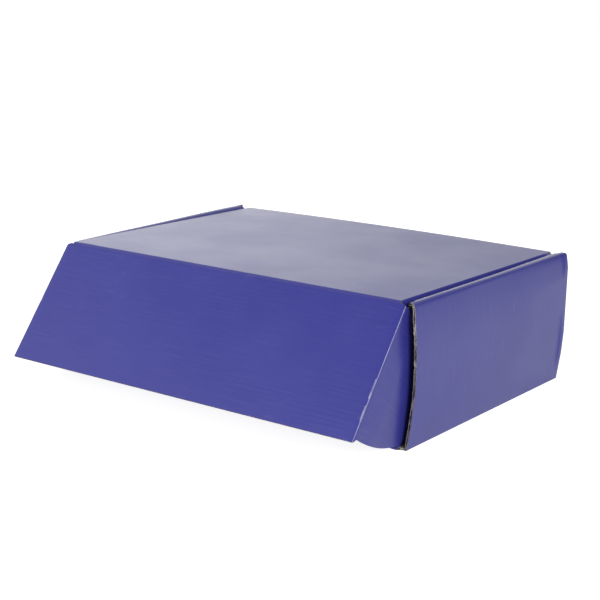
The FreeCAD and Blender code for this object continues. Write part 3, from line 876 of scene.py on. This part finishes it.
# Trim each ear to its outline, a long arc about the crease and two rounded rear corners, and let it spring out.
def shapeEars(sheet, length):
    size = flapSize
    half = board / 2
    arcRadius = crease.z - board - size["earFoot"]
    tailStart = size["earLength"] - size["earRound"]
    tailLevel = math.sqrt((arcRadius - size["earRound"]) ** 2 - tailStart ** 2)
    for vert in sheet.data.vertices:
        co = vert.co
        run, reach = flapPlace(co)
        if abs(co.x) < flapHalf - same / 10 or reach < -half + same / 10:
            continue
        reachOut = arcRadius - size["trim"][co.x > 0]
        top, low = size["neck"], math.sqrt(reachOut ** 2 - reach ** 2)
        low -= size["bite"] * smooth(reach, *size["biteFrom"]) * (1 - smooth(reach, *size["biteTo"]))
        nearEnd = reach - (size["earLength"] - size["earTip"])
        if nearEnd > 0:
            top += size["earTip"] - math.sqrt(max(size["earTip"] ** 2 - nearEnd ** 2, 0))
        if reach > tailStart * arcRadius / (arcRadius - size["earRound"]):
            low = tailLevel + math.sqrt(max(size["earRound"] ** 2 - (reach - tailStart) ** 2, 0))
        low = length + (low - length) * smooth(reach, *size["lowCorner"])
        share = (run - size["neck"]) / (length - size["neck"])
        co += flapDown * (top + share * (low - top) - run)
        reach = flapPlace(co)[1]
        sprung = min(max(reach, 0) / size["flareReach"], 1.0)
        sprung *= math.sin(math.pi * min(max(co.z / size["flareHeight"], 0.0), 1.0))
        sprung *= 1 - smooth(co.y, *(frontEdge + end for end in size["flareEnd"]))
        co.x += math.copysign(size["flare"] * sprung, co.x)


# Place in the flat sheet: along the flutes, then across them.
def lidBlank(place, middle, normal):
    run, reach = flapPlace(place)
    if abs(middle.x) > flapHalf - near and flapPlace(middle)[0] > blankLimits["earTop"]:
        return (place.x + reach, -run)
    if middle.y < crease.y:
        return (place.x, -run)
    return (place.x - math.copysign(place.z, place.x), place.y - crease.y)


# The lid's side flaps, folded down inside the side walls.
def makeSideFlaps():
    size = flapSize
    pieces = []
    for name, side in (("rightDustFlap", 1), ("leftDustFlap", -1)):
        top = lidHigh.z - size["lipDepth"]
        low = lidHigh.z - size["dustDepth"]
        end = rearEdge - size["dustInset"]
        flap = newGrid(name, (-end, low), (end, top), 0, *size["dustGrid"])
        mesh = bmesh.from_edit_mesh(flap.data)
        for vert in mesh.verts:
            along, z = vert.co.x, vert.co.y
            slant = size["dustSlant"] * (lidHigh.z - z) / size["dustDepth"]
            nose = size["dustNose"] * (1 - smooth(lidHigh.z - z, *size["noseDepth"])) if along < 0 else 0
            vert.co = Vector((side * lidHalf, along * (end - slant + nose) / end, z))
        bmesh.update_edit_mesh(flap.data)
        bpy.ops.object.mode_set(mode="OBJECT")
        pieces.append((flap, side))
    bpy.ops.object.select_all(action="DESELECT")
    return pieces


# Camera, floor and light

cameraFit = {
    "azimuth": 35.8577, "elevation": 13.3275, "roll": 1.3009, "distance": 1.069043,
    "focalPixels": 1393.073, "frame": 600, "target": (0.002717, -0.020, 0.061721), "sensor": 36.0,
    "nearest": 0.01,
}


def makeCamera():
    fit = cameraFit
    azimuth, elevation, roll = (math.radians(fit[key]) for key in ("azimuth", "elevation", "roll"))
    back = Vector((math.sin(azimuth) * math.cos(elevation), -math.cos(azimuth) * math.cos(elevation),
                   math.sin(elevation)))
    right = (-back).cross(Vector((0, 0, 1))).normalized()
    up = right.cross(-back)
    right, up = right * math.cos(roll) + up * math.sin(roll), up * math.cos(roll) - right * math.sin(roll)
    data = bpy.data.cameras.new("camera")
    camera = bpy.data.objects.new("camera", data)
    bpy.context.scene.collection.objects.link(camera)
    place = Vector(fit["target"]) + back * fit["distance"]
    turn = Matrix((right, up, back)).transposed().to_4x4()
    camera.matrix_world = Matrix.Translation(place) @ turn
    data.sensor_width = fit["sensor"]
    data.lens = fit["focalPixels"] / fit["frame"] * fit["sensor"]
    data.clip_start = fit["nearest"]
    bpy.context.scene.camera = camera


stageLook = {
    "floorSize": 12.0, "floorColour": (0.80, 0.80, 0.81, 1), "floorGlow": 0.84, "glossyFloor": 0.30,
    "floorRoughness": 0.9, "floorSheen": 0.1,
    "white": 1.0, "room": (0.16, 0.544), "roomY": (-0.6, 0.5), "sweep": (0.05, 1.0), "sweepY": (-0.45, 0.35),
    "sides": (1.40, 0.576), "sidesX": (-0.78, -0.30), "right": (1.0, 0.214), "rightX": (-0.1, 0.5),
    "height": (1.5, 0.70), "heightZ": (0.165, 0.225), "low": 0.84, "lowZ": (0.665, 0.575), "lowY": (-0.2, -0.4),
}


# Two switches: rays that see the white itself, from the camera or through glass, and glossy reflections.
def seenDirectly(tree):
    path = tree.nodes.new("ShaderNodeLightPath")
    seen = mathNode(tree, "MAXIMUM", path.outputs["Is Camera Ray"], path.outputs["Is Transmission Ray"])
    return seen, path.outputs["Is Glossy Ray"]


def makeStage():
    look = stageLook
    bpy.ops.mesh.primitive_plane_add(size=look["floorSize"], location=(0, 0, 0))
    floor = bpy.context.object
    floor.name = "floor"
    material, tree, shader = startMaterial("paleFloor")
    shader.inputs["Base Color"].default_value = look["floorColour"]
    shader.inputs["Roughness"].default_value = look["floorRoughness"]
    shader.inputs["Specular IOR Level"].default_value = look["floorSheen"]
    shader.inputs["Emission Color"].default_value = (1, 1, 1, 1)
    seen, glossy = seenDirectly(tree)
    glow = mathNode(tree, "MULTIPLY", seen, look["floorGlow"])
    glow = mathNode(tree, "ADD", glow, mathNode(tree, "MULTIPLY", glossy, look["glossyFloor"]))
    tree.links.new(glow, shader.inputs["Emission Strength"])
    floor.data.materials.append(material)
    world = bpy.data.worlds.new("studio")
    bpy.context.scene.world = world
    world.use_nodes = True
    tree = world.node_tree
    tree.nodes.clear()
    output = tree.nodes.new("ShaderNodeOutputWorld")
    background = tree.nodes.new("ShaderNodeBackground")
    background.inputs["Color"].default_value = (1, 1, 1, 1)
    # a white sweep behind, and a dimmer room on the camera's side
    split = tree.nodes.new("ShaderNodeSeparateXYZ")
    tree.links.new(tree.nodes.new("ShaderNodeTexCoord").outputs["Generated"], split.inputs[0])
    x, y, z = (split.outputs[axis] for axis in "XYZ")
    room = ramp(tree, y, *look["roomY"], *look["room"])
    shine = ramp(tree, y, *look["sweepY"], *look["sweep"])
    for value, span, levels in ((x, "sidesX", "sides"), (x, "rightX", "right"), (z, "heightZ", "height")):
        shine = mathNode(tree, "MULTIPLY", shine, ramp(tree, value, *look[span], *look[levels]))
    low = mathNode(tree, "MULTIPLY", ramp(tree, z, *look["lowZ"]), ramp(tree, y, *look["lowY"]))
    shine = mathNode(tree, "ADD", shine, mathNode(tree, "MULTIPLY", low, look["low"]))
    seen, glossy = seenDirectly(tree)
    level = mix(tree, "VALUE", seen, mix(tree, "VALUE", glossy, room, shine), look["white"])
    tree.links.new(level, background.inputs["Strength"])
    tree.links.new(background.outputs[0], output.inputs["Surface"])


lamps = {
    "right": {"place": (1.765, -0.712, 0.888), "size": 0.8, "power": 17.0},
    "front": {"place": (-0.70, -1.95, 0.55), "size": 1.0, "power": 21.5},
}
lampAim = Vector((0, 0, 0.05))


def makeLamps():
    for name, lamp in lamps.items():
        data = bpy.data.lights.new(name, "AREA")
        data.size = lamp["size"]
        data.energy = lamp["power"]
        light = bpy.data.objects.new(name, data)
        bpy.context.scene.collection.objects.link(light)
        place = Vector(lamp["place"])
        light.location = place
        light.rotation_euler = (lampAim - place).to_track_quat("-Z", "Y").to_euler()


groups = {"flutes": makeFluteGroup(), "wear": makeWearGroup(), "handling": makeScuffGroup()}
sheetMaterials = [makePrinted(groups), makePlain(groups), makeCut("cutAlongFlutes", False),
                  makeCut("cutAcrossFlutes", True)]
report("materials made")

foldWear = {"tray": 0.45, "lid": 0.40, "earCrease": 0.86}
tray = makeTray()
count = thicken(tray, sheetMaterials, trayBlank, lambda co: foldWear["tray"], Vector((0, 0, -1)))
frayTray(tray, count)
finishPiece(tray)
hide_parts("tray")
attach(tray, "box")


# The ears' creases are rubbed pale, the lid's folds only a little.
def lidWear(co):
    onEarCrease = flapPlace(co)[0] > flapSize["neck"] - near and abs(co.x) > lidHalf - near / 2
    return foldWear["earCrease"] if onEarCrease else foldWear["lid"]


lidSheet = makeLidSheet()
thicken(lidSheet, sheetMaterials, lidBlank, lidWear, Vector((0, 0, 1)))
finishPiece(lidSheet)
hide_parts("lid", "front_flap")
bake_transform(lidSheet)

for dustFlap, side in makeSideFlaps():
    thicken(dustFlap, sheetMaterials, trayBlank, lambda co: 0.0, Vector((side, 0, 0)))
    finishPiece(dustFlap)
    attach(dustFlap, "box")
report("pieces placed")

makeStage()
makeCamera()
makeLamps()
bpy.context.scene.view_settings.view_transform = "Standard"

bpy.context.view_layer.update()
report("done")
